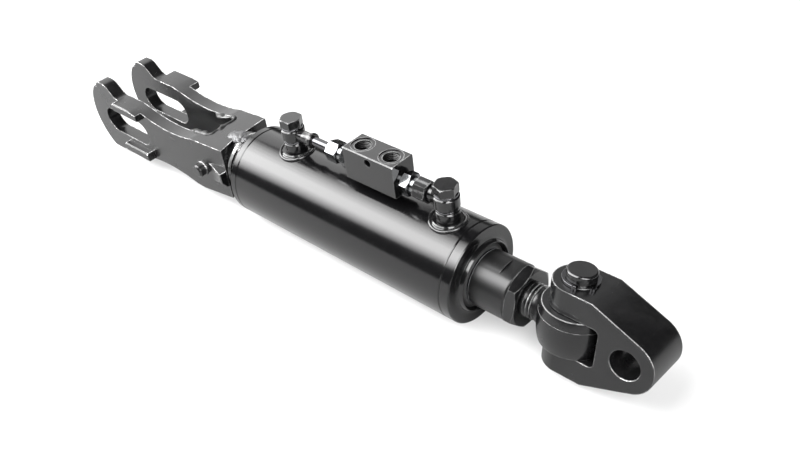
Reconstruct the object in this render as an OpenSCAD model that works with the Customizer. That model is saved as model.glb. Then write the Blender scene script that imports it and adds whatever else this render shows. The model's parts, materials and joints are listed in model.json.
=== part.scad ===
// Hydraulic lower link stabilizer: a double-acting cylinder with a slotted fork, a swinging clevis
// and a double check valve piped across its ports.
// +X runs along the cylinder from the fork to the clevis, +Z is up, and the origin is the centre of
// the fork's slot. The rod is drawn fully in. Lengths are in millimetres.

/* [Fork] */
// Width over the two plates
fork_w = 60; // [56:1:68]
// Gap between the plates
fork_gap = 34; // [30:1:38]
// Distance from the slot's centre to the fork's welded end
fork_len = 158; // [150:1:175]
// Width of the slot
slot_w = 26; // [22:1:30]
// Length of the slot, end to end
slot_len = 72; // [60:1:76]
// Radius of the rounded nose of each plate
nose_r = 46; // [44:0.5:48]
// Distance from the slot's centre to the centre of the nose's arc
nose_back = 11.5; // [10:0.5:14]
// Height of the plate at the guide ribs, above the axis
rib_top = 28.5; // [27:0.5:30]
// Height of the plate at its narrow neck, above the axis
neck_top = 21; // [19:0.5:23]
// Height of the plate at its welded end, above the axis
end_top = 29; // [27:0.5:31]
// Length of each guide rib
rib_len = 38; // [30:1:42]
// Height of each guide rib
rib_h = 9; // [8:0.5:12]
// Depth of the plate at the guide ribs, below the axis
rib_low = 26; // [25:0.5:28]
// How far a guide rib stands out of the near plate
rib_out = 7; // [4:0.5:9]
// How far a guide rib stands out of the far plate
rib_out_far = 11; // [4:0.5:13]
// Diameter of the stop peg
peg_d = 12.5; // [10:0.5:14]
// How far the stop peg stands out of the plate
peg_out = 8; // [5:0.5:12]

/* [Barrel] */
// Outside diameter of the barrel
barrel_od = 80; // [78:1:84]
// Thickness of the barrel's wall
barrel_wall = 7.5; // [6:0.5:9]
// Length of the weld neck between the fork and the cap
neck_len = 17; // [14:1:20]
// Visible width of the cap's ring
cap_ring = 7.5; // [6:0.5:10]
// Visible width of the gland's ring
gland_ring = 9; // [8:0.5:10]
// How far the cap reaches into the bore, measured from its face
cap_depth = 45; // [43:1:46]
// Length of the gland inside the barrel, measured from its face
gland_depth = 50; // [48:1:54]
// Height of the dished lip round the rod
lip_h = 4; // [3:0.5:5]
// Distance of the rear port from the cap's face
port_rear = 52.5; // [52:0.5:54]
// Distance of the front port from the gland's face
port_front = 29; // [28:1:32]

/* [Rod] */
// Diameter of the rod
rod_d = 45; // [42:1:46]
// Travel of the rod, which sets the length of the barrel
stroke = 100; // [92:1:150]
// Length of rod showing when it is fully in
rod_out = 34.5; // [33:0.5:40]
// Length of the wrench flats
flat_len = 11; // [9:0.5:12]
// Distance across the wrench flats
flat_af = 41.5; // [40:0.5:41.5]
// Turn of the rod about its own axis, as drawn at rest
rod_roll = -10; // [-20:1:20]
// Length of the piston
piston_len = 32; // [30:1:36]
// Height of the piston nut
piston_nut_h = 12; // [10:1:14]
// Distance across the piston nut's flats
piston_nut_af = 41; // [38:1:46]
// Width across flats of the lock nut
lock_af = 43; // [41:1:46]
// Height of the lock nut
lock_h = 9.5; // [8:0.5:10]

/* [Eye and clevis] */
// Diameter of the eye's threaded shank
shank_d = 27; // [24:1:27]
// Pitch of its thread
shank_pitch = 3; // [2:0.5:3]
// Distance from the lock nut to the pin's axis
nut_to_pin = 36; // [34:1:40]
// Largest diameter of the eye
eye_d = 53; // [50:1:54]
// Diameter of the eye's flat ends
eye_end_d = 44; // [40:1:46]
// Height of the eye
eye_h = 30.6; // [28:0.2:31]
// Diameter of the clevis pin
pin_d = 22; // [20:1:24]
// How far the pin stands above the clevis
pin_above = 9; // [7:0.5:10]
// How far the pin stands below the clevis
pin_below = 5; // [5:0.5:6]
// Distance from the pin's axis to the clevis's bore
pin_to_bore = 49; // [47:1:54]
// Diameter of the clevis's bore
clevis_bore = 22; // [20:0.5:25]
// Width of the clevis
clevis_w = 38.5; // [37:0.5:42]
// Height of the clevis
clevis_h = 68; // [66:1:72]
// Radius of the clevis's nose
clevis_nose = 21; // [20:0.5:23]
// Length of the clevis's flat top in front of the pin's axis
clevis_flat = 20; // [16:1:22]

/* [Valve] */
// Height of the valve's axis above the barrel's axis
valve_z = 57.5; // [57:0.5:60]
// Length of the valve block
block_len = 51; // [50:1:54]
// Width of the valve block
block_w = 23; // [22:0.5:26]
// Height of the valve block
block_h = 28.5; // [28:0.5:32]
// Height of the block's middle above the valve's axis
block_rise = 4; // [3:0.5:4.5]
// Distance of the block's middle from the front port
block_from_front = 66; // [65:1:67]
// Distance between the two top ports
port_gap = 29; // [28.5:0.5:29.5]
// Diameter of each top port
port_d = 13.2; // [12:0.2:13.4]
// Depth of each top port
port_deep = 8.5; // [7.5:0.5:8.5]
// Travel of the pilot spool and of the poppets
spool_travel = 1.5; // [1:0.1:1.8]
// Outside diameter of the pipe
pipe_d = 8; // [6:0.5:8]
// Width across flats of the banjo bolts and of the adapters
banjo_af = 17; // [16:0.5:18]
// Width across flats of the pipe nut and the union nut
nut_af = 16; // [15.5:0.5:18]

/* [Hidden] */

black_cast = [0.16, 0.16, 0.17];
black_paint = [0.10, 0.10, 0.11];
zinc = [0.80, 0.81, 0.83];
steel = [0.62, 0.63, 0.65];
seal_black = [0.06, 0.06, 0.06];
seal_brown = [0.45, 0.33, 0.20];

// Clearances: a pressed joint, a running fit, and a plain gap between moving pieces
press_gap = 0.02;
run_gap = 0.05;
free_gap = 0.4;
edge = 0.8;
$fn = 96;

// Stations along the axis, from the fork to the clevis
fork_end_x = fork_len;
cap_x = fork_end_x + neck_len;
tube_x = cap_x + cap_ring;
cap_in_x = cap_x + cap_depth;
spigot_x = cap_in_x + 2.5;
piston_x = spigot_x + 1.5 + piston_nut_h;
piston_end_x = piston_x + piston_len;
gland_in_x = piston_end_x + stroke + 2;
gland_face_x = gland_in_x + gland_depth;
tube_end_x = gland_face_x - gland_ring;
rear_x = cap_x + port_rear;
front_x = gland_face_x - port_front;
rod_end_x = gland_face_x + rod_out;
nut_end_x = rod_end_x + lock_h;
pin_x = nut_end_x + nut_to_pin;
bore_x = pin_x + pin_to_bore;

barrel_r = barrel_od / 2;
bore_r = barrel_r - barrel_wall;
rod_r = rod_d / 2;
spigot_r = 0.6 * rod_r;
shank_r = shank_d / 2;
pin_r = pin_d / 2;
slot_half = eye_h / 2 + free_gap;
plate_t = (fork_w - fork_gap) / 2;
rib_x0 = -4;
rib_x1 = rib_x0 + rib_len;

// The valve's stack over each port
boss_r = 12.5;
boss_top = barrel_r + 1.5;
banjo_r = 10;
banjo_half = 5.5;
washer_t = 1.5;
bolt_r = 7;
bolt_deep = 5;
collar_top = valve_z - banjo_half - washer_t;
head_z = valve_z + banjo_half + washer_t;
head_h = 7.3;
block_x = front_x - block_from_front;
block_x0 = block_x - block_len / 2;
block_x1 = block_x + block_len / 2;
spool_r = 5;
stub_r = 7;
stub_deep = 4;
seat_hole_r = 2.6;
check_r = 4;
poppet_tip = 0.5;
check_deep = 14.5;
pipe_r = pipe_d / 2;
nut_len = 11;
stub_out = 15;

// Shapes used by several pieces

// A solid turned about the X axis from [radius, x] points
module turned(points) {
  rotate([0, 90, 0]) rotate_extrude() polygon(points);
}

// A plain ring about the X axis with chamfered outer edges
module ring_x(x0, x1, r_out, r_in, chamfer = 0) {
  turned([
    [r_in, x0], [r_out - chamfer, x0], [r_out, x0 + chamfer],
    [r_out, x1 - chamfer], [r_out - chamfer, x1], [r_in, x1]
  ]);
}

// A cylinder along X
module bar_x(x0, x1, r) {
  translate([x0, 0, 0]) rotate([0, 90, 0]) cylinder(r = r, h = x1 - x0);
}

// A flat shape drawn in X and Z, given a width along Y
module across(y0, y1) {
  translate([0, y1, 0]) rotate([90, 0, 0]) linear_extrude(y1 - y0) children();
}

// A chamfered hexagon nut or head along Z, from z = 0 to h
module hex_z(af, h, chamfer_low = true, chamfer_high = true) {
  corner = af / sqrt(3);
  drop = (corner - af / 2) * tan(30);
  low = chamfer_low ? drop : 0;
  high = chamfer_high ? drop : 0;
  intersection() {
    cylinder(r = corner, h = h, $fn = 6);
    rotate_extrude() polygon([
      [0, 0], [chamfer_low ? af / 2 : corner, 0], [corner, low],
      [corner, h - high], [chamfer_high ? af / 2 : corner, h], [0, h]
    ]);
  }
}

// The same along X from x0 to x1, with one corner turned by turn degrees
module hex_x(x0, x1, af, turn = 0, chamfer_low = true, chamfer_high = true) {
  translate([x0, 0, 0]) rotate([turn, 0, 0]) rotate([0, 90, 0])
    hex_z(af, x1 - x0, chamfer_low, chamfer_high);
}

// Fork

hook_a = 121;
tip_r = 7;
tip_x = -nose_back + (nose_r - tip_r) * cos(hook_a);
tip_z = (nose_r - tip_r) * sin(hook_a);
neck_x = 76;
neck_span = 38;
neck_sag = 4.5;
neck_r = (neck_span * neck_span + neck_sag * neck_sag) / (2 * neck_sag);
belly_r = 177;
belly_x = 62;
belly_z = 23.4;
ramp_x = rib_x1 - 11;
chin_x = -29;
chin_z = 35.4;

// Side view of one plate, without its slot
module plate_outline() {
  difference() {
    union() {
      intersection() {
        translate([-nose_back, 0]) circle(r = nose_r);
        polygon([
          [-nose_back - nose_r, tip_z], [tip_x, tip_z], [-11, 0], [chin_x, -chin_z],
          [-nose_back - nose_r, -chin_z]
        ]);
      }
      translate([tip_x, tip_z]) circle(r = tip_r);
      polygon([
        [tip_x, tip_z + tip_r], [tip_x + 7, tip_z + tip_r - 0.2], [tip_x + 12, tip_z + tip_r - 2],
        [-11, rib_top + 2], [-7, rib_top + 0.4], [-4, rib_top], [ramp_x, rib_top],
        [neck_x - neck_span, neck_top + neck_sag], [neck_x + neck_span, neck_top + neck_sag],
        [fork_len, end_top], [fork_len, -end_top + 7], [neck_x + neck_span, -end_top + 0.5],
        [rib_x1 + 4, -rib_low], [rib_x0, -rib_low],
        [-12, -rib_low - 4.5], [chin_x + 6, -chin_z + 0.6], [chin_x, -chin_z], [tip_x, 0]
      ]);
    }
    translate([neck_x, neck_top + neck_r]) circle(r = neck_r, $fn = 360);
    translate([belly_x, -belly_z - belly_r]) circle(r = belly_r, $fn = 360);
  }
}

module slot_outline(w, l) {
  square([l - w, w], center = true);
  for (s = [-1, 1]) translate([s * (l - w) / 2, 0]) circle(d = w);
}

peg_x = fork_len - 37;
peg_z = -3;
peg_shank_r = 5;
peg_shank = 9;
gusset_x = fork_len - 25;
gusset_out = 6.5;
gusset_top = 7;
gusset_low = -9;
gap_root = fork_len - 34;
gap_corner = 6;
end_slant = 9;
shoulder_r = 28.5;

module fork() {
  color(black_cast) difference() {
    union() {
      intersection() {
        across(-fork_w / 2, fork_w / 2) plate_outline();
        // The welded end is cut off at a slant
        translate([0, 0, -2 * nose_r]) linear_extrude(4 * nose_r) polygon([
          [-2 * nose_r, -fork_w], [fork_len, -fork_w], [fork_len, -fork_w / 2],
          [fork_len - 6, -fork_w / 6], [fork_len - end_slant, fork_w / 2],
          [fork_len - end_slant, fork_w], [-2 * nose_r, fork_w]
        ]);
      }
      // A round shoulder carries the weld
      bar_x(fork_len - end_slant - 1, fork_len, shoulder_r);
      // Guide ribs over and under the slot, on the outside of both plates
      for (z0 = [rib_top - rib_h, -rib_low]) {
        rib(-1, rib_out, z0);
        rib(1, rib_out_far, z0);
      }
      gusset();
    }
    gap_between_plates();
    across(-fork_w, fork_w) slot_outline(slot_w, slot_len);
    // Blind hole for the stop peg
    translate([peg_x, -fork_w / 2 + peg_shank, peg_z]) rotate([90, 0, 0])
      cylinder(r = peg_shank_r, h = 2 * peg_shank);
  }
}

// The gap ends square, with rounded corners
module gap_between_plates() {
  translate([0, 0, -2 * nose_r]) linear_extrude(4 * nose_r) union() {
    translate([-2 * nose_r, -fork_gap / 2])
      square([gap_root - gap_corner + 2 * nose_r, fork_gap]);
    translate([0, -fork_gap / 2 + gap_corner]) square([gap_root, fork_gap - 2 * gap_corner]);
    for (s = [-1, 1]) translate([gap_root - gap_corner, s * (fork_gap / 2 - gap_corner)])
      circle(r = gap_corner);
  }
}

// One guide rib, with its outer edges chamfered and its top falling away towards the neck
module rib(side, out, z0) {
  c = 1.2;
  y0 = fork_w / 2 - 1;
  y1 = fork_w / 2 + out;
  difference() {
    translate([rib_x0, 0, z0]) rotate([90, 0, 90]) linear_extrude(rib_len)
      polygon([
        [side * y0, 0], [side * (y1 - c), 0], [side * y1, c],
        [side * y1, rib_h - c], [side * (y1 - c), rib_h], [side * y0, rib_h]
      ]);
    across(-fork_w, fork_w) polygon([
      [ramp_x, rib_top], [neck_x - neck_span, neck_top + neck_sag], [neck_x, rib_top + 1],
      [ramp_x, rib_top + 1]
    ]);
  }
}

// Wedge on the outside of the near plate, just before the weld
module gusset() {
  near = -fork_w / 2;
  intersection() {
    translate([0, 0, gusset_low]) linear_extrude(gusset_top - gusset_low) polygon([
      [gusset_x, near + 1], [gusset_x, near], [fork_len - 3, near - gusset_out],
      [fork_len - 1, near - gusset_out], [fork_len - 1, near + 1]
    ]);
    // The lower side slopes back to the plate
    translate([gusset_x - 1, 0, 0]) rotate([90, 0, 90]) linear_extrude(fork_len - gusset_x + 1)
      polygon([
        [near + 1.1, gusset_low - 1], [near - 2, gusset_low], [near - gusset_out - 1, gusset_top - 8],
        [near - gusset_out - 1, gusset_top + 1], [near + 1.1, gusset_top + 1]
      ]);
  }
}

module stop_peg() {
  collar_r = peg_d / 2 + 1;
  color(black_cast) translate([peg_x, -fork_w / 2, peg_z]) rotate([90, 0, 0]) rotate_extrude()
    polygon([
      [0, -peg_shank + 0.5], [peg_shank_r - press_gap, -peg_shank + 0.5], [peg_shank_r - press_gap, 0],
      [collar_r, 0], [collar_r, 1], [peg_d / 2, 1.6], [peg_d / 2, peg_out - 1.5],
      [peg_d / 2 - 1.5, peg_out], [0, peg_out]
    ]);
}

// Barrel

cap_neck_r = 27;

// One bead lies against the fork's end and a heavier one against the cap
module fork_weld() {
  near = shoulder_r - cap_neck_r;
  far = 8.5;
  color(black_cast) {
    turned([
      [cap_neck_r, fork_end_x], [cap_neck_r + near, fork_end_x],
      [cap_neck_r + 0.75 * near, fork_end_x + 0.45 * near], [cap_neck_r, fork_end_x + near]
    ]);
    turned([
      [cap_neck_r, cap_x - far], [cap_neck_r + 0.45 * far, cap_x - 0.85 * far],
      [cap_neck_r + 0.85 * far, cap_x - 0.45 * far], [cap_neck_r + far, cap_x], [cap_neck_r, cap_x]
    ]);
  }
}

module end_cap() {
  plug_r = bore_r - press_gap;
  relief_r = bore_r - 4.5;
  color(black_paint) turned([
    [0, fork_end_x], [cap_neck_r, fork_end_x], [cap_neck_r, cap_x],
    [barrel_r - 1.5, cap_x], [barrel_r, cap_x + 1.5],
    [barrel_r, tube_x - edge], [barrel_r - edge, tube_x], [plug_r, tube_x],
    [plug_r, cap_in_x - 6], [relief_r, cap_in_x - 5], [relief_r, cap_in_x], [0, cap_in_x]
  ]);
}

module barrel_tube() {
  port_hole_r = 4;
  color(black_paint) difference() {
    ring_x(tube_x, tube_end_x, barrel_r, bore_r, edge);
    // Each port is drilled through and threaded for the banjo bolt
    for (x = [rear_x, front_x]) translate([x, 0, 0]) {
      cylinder(r = port_hole_r, h = barrel_od);
      translate([0, 0, barrel_r - bolt_deep]) cylinder(r = bolt_r, h = barrel_r);
    }
  }
}

// Grooves inside and outside the gland, as [start, length, radius]
band_x = gland_in_x + 5;
band_w = 10;
rod_seal_x = gland_in_x + 22;
rod_seal_w = 7;
oring_x = tube_end_x - 9.5;
oring_w = 4.6;
wiper_x = gland_face_x - 5;
band_t = 2.5;
rod_seal_t = 5;
wiper_t = 3.5;
oring_t = 3;

module gland_head() {
  body_r = bore_r - press_gap;
  relief_r = bore_r - 3.5;
  in_r = rod_r + run_gap;
  lip_r = rod_r + 7;
  relief_end = oring_x - 3;
  color(black_paint) turned([
    [in_r, gland_in_x], [relief_r, gland_in_x], [relief_r, relief_end], [body_r, relief_end + 1],
    [body_r, oring_x], [body_r - oring_t, oring_x], [body_r - oring_t, oring_x + oring_w],
    [body_r, oring_x + oring_w], [body_r, tube_end_x], [barrel_r - edge, tube_end_x],
    [barrel_r, tube_end_x + edge], [barrel_r, gland_face_x - edge], [barrel_r - edge, gland_face_x],
    [lip_r + 1, gland_face_x], [lip_r, gland_face_x + 1], [lip_r - 0.5, gland_face_x + lip_h - 0.6],
    [lip_r - 1.5, gland_face_x + lip_h], [lip_r - 2, gland_face_x + lip_h],
    [rod_r + wiper_t, gland_face_x + 1], [rod_r + wiper_t, wiper_x], [in_r, wiper_x],
    [in_r, rod_seal_x + rod_seal_w], [rod_r + rod_seal_t, rod_seal_x + rod_seal_w],
    [rod_r + rod_seal_t, rod_seal_x], [in_r, rod_seal_x], [in_r, band_x + band_w],
    [rod_r + band_t, band_x + band_w], [rod_r + band_t, band_x], [in_r, band_x]
  ]);
}

module gland_o_ring() {
  wire_r = (oring_t - 2 * press_gap) / 2;
  color(seal_black) rotate([0, 90, 0]) rotate_extrude()
    translate([bore_r - press_gap - wire_r - press_gap, oring_x + oring_w / 2]) circle(r = wire_r, $fn = 32);
}

module rod_seal() {
  color(seal_black) ring_x(rod_seal_x + press_gap, rod_seal_x + rod_seal_w - press_gap,
    rod_r + rod_seal_t - press_gap, rod_r + run_gap);
}

module rod_guide_band() {
  color(seal_brown) ring_x(band_x + press_gap, band_x + band_w - press_gap,
    rod_r + band_t - press_gap, rod_r + run_gap);
}

// The wiper's lip stands a little out of its seat and leans on the rod
module rod_wiper() {
  out_r = rod_r + wiper_t - press_gap;
  color(seal_black) turned([
    [rod_r + run_gap, wiper_x + press_gap], [out_r, wiper_x + press_gap], [out_r, gland_face_x],
    [rod_r + 1.2, gland_face_x + 2.2], [rod_r + run_gap, gland_face_x + 2.4]
  ]);
}

// Fittings over the two ports

module over(x) {
  translate([x, 0, 0]) children();
}

module port_boss(x) {
  foot = 2.5;
  skirt = barrel_r - 2.5;
  color(black_paint) over(x) difference() {
    rotate_extrude() polygon([
      [bolt_r, barrel_r - 8], [boss_r + foot, barrel_r - 8], [boss_r + foot, skirt],
      [boss_r, skirt + foot], [boss_r, boss_top - edge], [boss_r - edge, boss_top], [bolt_r, boss_top]
    ]);
    translate([-x, 0, 0]) bar_x(x - 30, x + 30, barrel_r);
  }
}

module rear_port_boss() { port_boss(rear_x); }

module front_port_boss() { port_boss(front_x); }

module spacer_collar(x) {
  color(black_paint) over(x) rotate_extrude() polygon([
    [bolt_r + press_gap, boss_top], [banjo_r - 1.2, boss_top], [banjo_r - 0.6, boss_top + 0.6],
    [banjo_r - 0.6, collar_top - 1.6], [banjo_r - 1.6, collar_top - 0.6],
    [banjo_r - 1.6, collar_top], [bolt_r + press_gap, collar_top]
  ]);
}

module rear_spacer_collar() { spacer_collar(rear_x); }

module front_spacer_collar() { spacer_collar(front_x); }

// One banjo ring with its tail; the tail runs along +X
module banjo(tail) {
  ring_in = bolt_r + 0.6;
  difference() {
    union() {
      translate([0, 0, valve_z - banjo_half]) rotate_extrude() polygon([
        [bolt_r + press_gap, 0], [banjo_r - 1.2, 0], [banjo_r, 1.2], [banjo_r, 2 * banjo_half - 1.2],
        [banjo_r - 1.2, 2 * banjo_half], [bolt_r + press_gap, 2 * banjo_half]
      ]);
      translate([0, 0, valve_z]) difference() {
        turned(tail);
        translate([0, 0, -banjo_half]) cylinder(r = bolt_r + press_gap, h = 2 * banjo_half);
      }
    }
    // Oil groove round the bolt, and the way into the tail
    translate([0, 0, valve_z - 2.5]) cylinder(r = ring_in, h = 5);
    translate([0, 0, valve_z]) bar_x(0, banjo_r + 2, 2.2);
  }
}

sleeve_x = 25;
sleeve_r = 5;
pipe_in = 14;
neck_out = 18;
tail_out = neck_out + 3.4;

module rear_banjo() {
  color(black_paint) over(rear_x) banjo([
    [pipe_r + press_gap, pipe_in], [2.2, pipe_in], [2.2, 2], [sleeve_r, 2], [sleeve_r, sleeve_x - 3],
    [sleeve_r + 1.4, sleeve_x - 2.4], [sleeve_r + 1.4, sleeve_x - 0.6], [sleeve_r + 0.6, sleeve_x],
    [pipe_r + press_gap, sleeve_x]
  ]);
}

module front_banjo() {
  color(black_paint) over(front_x) mirror([1, 0, 0]) banjo([
    [2.2, bolt_r], [5, bolt_r], [5, banjo_r], [6, banjo_r + 1], [6, neck_out],
    [stub_r - 0.1, neck_out], [stub_r - 0.1, tail_out - 0.8], [stub_r - 0.9, tail_out], [2.2, tail_out]
  ]);
}

module banjo_bolt(x, turn) {
  oil_r = 3;
  low = barrel_r - bolt_deep + 0.3;
  color(black_paint) over(x) difference() {
    union() {
      translate([0, 0, head_z]) rotate([0, 0, turn]) hex_z(banjo_af, head_h, false, true);
      rotate_extrude() polygon([
        [0, low], [bolt_r - 1.2, low], [bolt_r - press_gap, low + 1.2],
        [bolt_r - press_gap, head_z], [0, head_z]
      ]);
    }
    cylinder(r = oil_r, h = valve_z);
    translate([0, 0, valve_z]) bar_x(-banjo_r, banjo_r, 2);
  }
}

module rear_banjo_bolt() { banjo_bolt(rear_x, 5); }

module front_banjo_bolt() { banjo_bolt(front_x, 46); }

module banjo_washers() {
  color(steel) for (x = [rear_x, front_x]) for (z = [collar_top, valve_z + banjo_half])
    translate([x, 0, z]) difference() {
      cylinder(r = banjo_r - 0.7, h = washer_t);
      translate([0, 0, -1]) cylinder(r = bolt_r + press_gap, h = washer_t + 2);
    }
}

nut_x = block_x0 - stub_out;

module transfer_pipe() {
  wall = 1.4;
  color(steel) translate([0, 0, valve_z])
    ring_x(rear_x + pipe_in, nut_x - nut_len + pipe_deep, pipe_r, pipe_r - wall);
}

module pipe_nut() {
  color(zinc) translate([0, 0, valve_z]) difference() {
    hex_x(nut_x - nut_len, nut_x, nut_af, 11);
    bar_x(nut_x - nut_len - 1, nut_x, pipe_r + press_gap);
    bar_x(nut_x - nut_len + pipe_deep, nut_x + 1, stub_r);
  }
}

// A check adapter drawn for the front end of the block, from its seat out to reach
module check_adapter(reach, turn) {
  seat = 1.6;
  ring_t = 2;
  hex_end = stub_deep + ring_t + 7.5;
  shank = stub_r - press_gap;
  union() {
    turned([
      [seat_hole_r, 0], [shank - 0.8, 0], [shank, 0.8], [shank, stub_deep], [stub_r + 1, stub_deep],
      [stub_r + 1, stub_deep + ring_t], [shank, stub_deep + ring_t], [shank, reach], [2.2, reach],
      [2.2, check_deep], [check_r, check_deep], [check_r, seat + check_r - seat_hole_r],
      [seat_hole_r, seat]
    ]);
    difference() {
      hex_x(stub_deep + ring_t, hex_end, banjo_af, turn);
      bar_x(0, hex_end + 1, stub_r - 1);
    }
  }
}

module rear_check_adapter() {
  color(zinc) translate([block_x0 + stub_deep, 0, valve_z]) mirror([1, 0, 0])
    check_adapter(stub_deep + stub_out + nut_len - pipe_deep, 27);
}

module front_check_adapter() {
  color(zinc) translate([block_x1 - stub_deep, 0, valve_z])
    check_adapter(front_x - tail_out - 0.3 - block_x1 + stub_deep, 11);
}

pipe_deep = 4;
union_x0 = block_x1 + 13.5;
union_x1 = front_x - neck_out + 3;

module front_union_nut() {
  color(black_paint) translate([0, 0, valve_z]) difference() {
    hex_x(union_x0, union_x1, nut_af, 39);
    bar_x(union_x0 - 1, union_x1 + 1, stub_r);
  }
}

module valve_block() {
  z0 = valve_z + block_rise - block_h / 2;
  spot_r = 9.5;
  spot_deep = 0.8;
  cross_r = 3.2;
  bevel = 0.8;
  top = z0 + block_h;
  color(black_paint) difference() {
    translate([block_x0, 0, 0]) rotate([90, 0, 90]) linear_extrude(block_len) polygon([
      [-block_w / 2 + bevel, z0], [block_w / 2 - bevel, z0], [block_w / 2, z0 + bevel],
      [block_w / 2, top - bevel], [block_w / 2 - bevel, top], [-block_w / 2 + bevel, top],
      [-block_w / 2, top - bevel], [-block_w / 2, z0 + bevel]
    ]);
    translate([0, 0, valve_z]) {
      bar_x(block_x0 - 1, block_x1 + 1, spool_r);
      bar_x(block_x0 - 1, block_x0 + stub_deep, stub_r);
      bar_x(block_x1 - stub_deep, block_x1 + 1, stub_r);
    }
    for (s = [-1, 1]) translate([block_x + s * port_gap / 2, 0, 0]) {
      translate([0, 0, top - port_deep]) cylinder(d = port_d, h = port_deep + 1);
      translate([0, 0, top - spot_deep]) cylinder(r = spot_r, h = spot_deep + 1);
      translate([0, 0, top - port_deep - 0.8]) cylinder(r1 = 4, r2 = port_d / 2, h = 0.8);
      translate([-s * 2, 0, valve_z]) cylinder(r = 1.8, h = top - port_deep - valve_z);
    }
    translate([block_x, block_w / 2 + 1, top - 5.5]) rotate([90, 0, 0])
      cylinder(r = cross_r, h = block_w + 2);
  }
}

// Inside the valve: the spool between the two poppets
seat_off = block_len / 2 - stub_deep;

module pilot_spool() {
  land = 6;
  nose = seat_off - poppet_tip - 0.3;
  color(steel) translate([block_x, 0, valve_z]) turned([
    [0, -nose], [1.8, -nose], [2.2, -nose + 0.4], [2.2, -land], [spool_r - run_gap, -land],
    [spool_r - run_gap, land], [2.2, land], [2.2, nose - 0.4], [1.8, nose], [0, nose]
  ]);
}

poppet_len = 7;

// A poppet drawn for the front seat
module poppet() {
  seat = 1.6;
  guide_r = check_r - run_gap;
  cone = guide_r - seat_hole_r;
  color(steel) translate([seat_off, 0, 0]) turned([
    [0, -poppet_tip], [1.6, -poppet_tip], [seat_hole_r - 0.3, seat - 0.3],
    [guide_r, seat + cone + 0.4], [guide_r, poppet_len], [1.8, poppet_len], [1.8, poppet_len + 1],
    [0, poppet_len + 1]
  ]);
}

module front_poppet() {
  translate([block_x, 0, valve_z]) poppet();
}

module rear_poppet() {
  translate([block_x, 0, valve_z]) mirror([1, 0, 0]) poppet();
}

// One coil spring along X from x0 to x1, swept along its helix
spring_wire = 0.45;
spring_r = 3.2;
spring_turns = 5;
spring_sides = 6;
spring_steps = 14;

module coil(x0, x1) {
  count = spring_turns * spring_steps;
  length = x1 - x0 - 2 * spring_wire;
  points = [
    for (i = [0 : count]) for (k = [0 : spring_sides - 1])
      let (a = 360 * i / spring_steps, b = 360 * k / spring_sides,
        r = spring_r + spring_wire * cos(b))
        [x0 + spring_wire + length * i / count + spring_wire * sin(b), r * cos(a), r * sin(a)]
  ];
  faces = concat(
    [[for (k = [0 : spring_sides - 1]) k]],
    [[for (k = [spring_sides - 1 : -1 : 0]) count * spring_sides + k]],
    [for (i = [0 : count - 1]) for (k = [0 : spring_sides - 1])
      let (n = (k + 1) % spring_sides, p = i * spring_sides)
        [p + k, p + spring_sides + k, p + spring_sides + n, p + n]]
  );
  polyhedron(points, faces);
}

module poppet_springs() {
  from = seat_off + poppet_len + spool_travel + 0.05;
  to = seat_off + check_deep - 0.05;
  color(steel) translate([block_x, 0, valve_z]) {
    coil(from, to);
    mirror([1, 0, 0]) coil(from, to);
  }
}

// Rod, piston and what turns with them

seal_groove_x = piston_x + piston_len / 2 - 3.2;
seal_groove_w = 6.4;
wear_groove_w = 6.6;
wear_x = [piston_x + 2.6, piston_end_x - 2.6 - wear_groove_w];
seal_t = 5;
wear_t = 2.5;

module piston() {
  out_r = bore_r - 0.35;
  groove_w = wear_groove_w;
  color(steel) turned([
    [spigot_r + press_gap, piston_x], [out_r - 1, piston_x], [out_r, piston_x + 1],
    [out_r, wear_x[0]], [out_r - wear_t, wear_x[0]], [out_r - wear_t, wear_x[0] + groove_w],
    [out_r, wear_x[0] + groove_w], [out_r, seal_groove_x], [out_r - seal_t, seal_groove_x],
    [out_r - seal_t, seal_groove_x + seal_groove_w], [out_r, seal_groove_x + seal_groove_w],
    [out_r, wear_x[1]], [out_r - wear_t, wear_x[1]], [out_r - wear_t, wear_x[1] + groove_w],
    [out_r, wear_x[1] + groove_w], [out_r, piston_end_x - 1], [out_r - 1, piston_end_x],
    [spigot_r + press_gap, piston_end_x]
  ]);
}

module piston_seal() {
  color(seal_black) ring_x(seal_groove_x + 0.3, seal_groove_x + seal_groove_w - 0.3,
    bore_r - run_gap, bore_r - 0.35 - seal_t + run_gap, 0.5);
}

module piston_wear_bands() {
  color(seal_brown) for (x = wear_x)
    ring_x(x + 0.3, x + wear_groove_w - 0.3, bore_r - run_gap, bore_r - 0.35 - wear_t + run_gap);
}

module piston_nut() {
  x0 = piston_x - piston_nut_h;
  color(steel) difference() {
    hex_x(x0, piston_x, piston_nut_af, 0);
    bar_x(x0 - 1, piston_x + 1, spigot_r + press_gap);
  }
}

// What turns with the rod is drawn upright and then rolled about its axis
module rolled() {
  rotate([rod_roll, 0, 0]) children();
}

module rod() {
  thread_deep = 32;
  flat_turn = 13;
  color(steel) rolled() difference() {
    turned([
      [0, spigot_x], [spigot_r - 1, spigot_x], [spigot_r, spigot_x + 1], [spigot_r, piston_end_x],
      [rod_r, piston_end_x], [rod_r, rod_end_x - 1], [rod_r - 1, rod_end_x], [shank_r + 0.1, rod_end_x],
      [shank_r + 0.1, rod_end_x - thread_deep], [0, rod_end_x - thread_deep - 6]
    ]);
    rotate([flat_turn, 0, 0]) for (z = [flat_af / 2, -flat_af / 2 - rod_r])
      translate([rod_end_x - flat_len, -rod_r, z]) cube([flat_len + 1, rod_d, rod_r]);
  }
}

module lock_nut() {
  turn = 54.5;
  color(black_paint) rolled() difference() {
    hex_x(rod_end_x, nut_end_x, lock_af, turn);
    bar_x(rod_end_x - 1, nut_end_x + 1, shank_r + press_gap);
  }
}

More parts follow.
